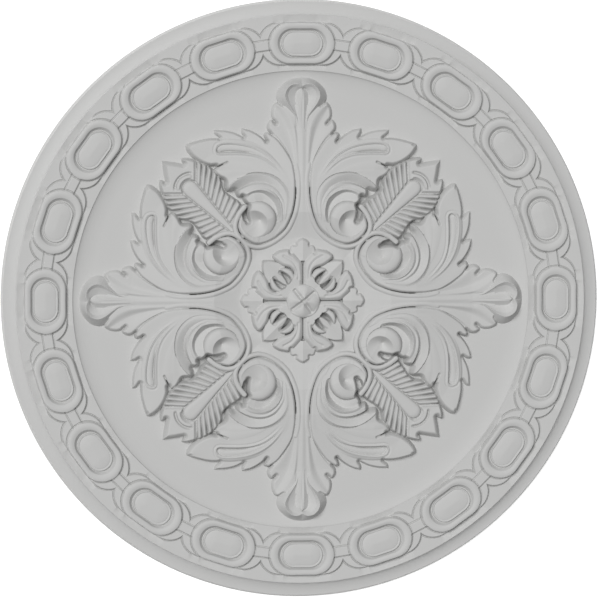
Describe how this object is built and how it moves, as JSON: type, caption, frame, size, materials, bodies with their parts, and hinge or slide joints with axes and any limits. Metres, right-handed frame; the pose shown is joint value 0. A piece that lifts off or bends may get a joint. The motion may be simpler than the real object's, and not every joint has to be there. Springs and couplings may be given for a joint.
{
  "type": "ceiling rose",
  "caption": "Round moulded ceiling rose with a hollow rim, a ring of linked ovals and a carved flower of acanthus leaves, scrolls and palmettes round a rosette.",
  "frame": {"origin": "centre of the flat back, on the face that is fixed to the ceiling", "axes": "+Z points out of the carved face, away from the ceiling, so the part lies on its back here and is turned over in use; +X and +Y point along the axes of two acanthus leaves"},
  "size_m": [0.42, 0.42, 0.0273],
  "materials": {
    "painted_polyurethane": "moulded rigid polyurethane foam with a flat white primer coat"
  },
  "bodies": {
    "root": {"ceiling_rose": "painted_polyurethane"}
  },
  "joints": []
}
